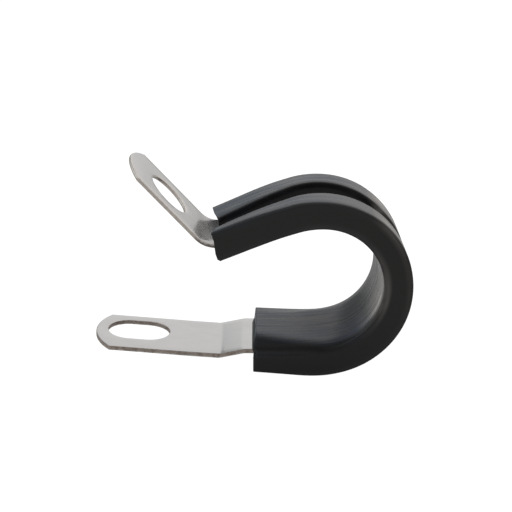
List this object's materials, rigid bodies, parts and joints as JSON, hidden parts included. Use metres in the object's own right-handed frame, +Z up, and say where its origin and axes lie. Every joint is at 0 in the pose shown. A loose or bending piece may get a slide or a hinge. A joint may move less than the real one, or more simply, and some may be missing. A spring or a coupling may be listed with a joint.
{
  "type": "rubber-lined p clip",
  "caption": "Rubber-lined steel P clip, sprung open: a looped band with a round hole in one ear and a slot in the other.",
  "frame": {"origin": "on the axis of the pipe seat, in the middle of the clip's width", "axes": "+Y along the pipe, the ears reach towards -X, +Z up with the lower limb level"},
  "size_m": [0.0475, 0.015, 0.0314],
  "materials": {
    "steel": "bright cold-rolled stainless strip with plain sheared edges",
    "rubber": "satin black extruded rubber, finely striated along its length"
  },
  "bodies": {
    "root": {"steel_band": "steel", "rubber_liner": "rubber"}
  },
  "joints": []
}
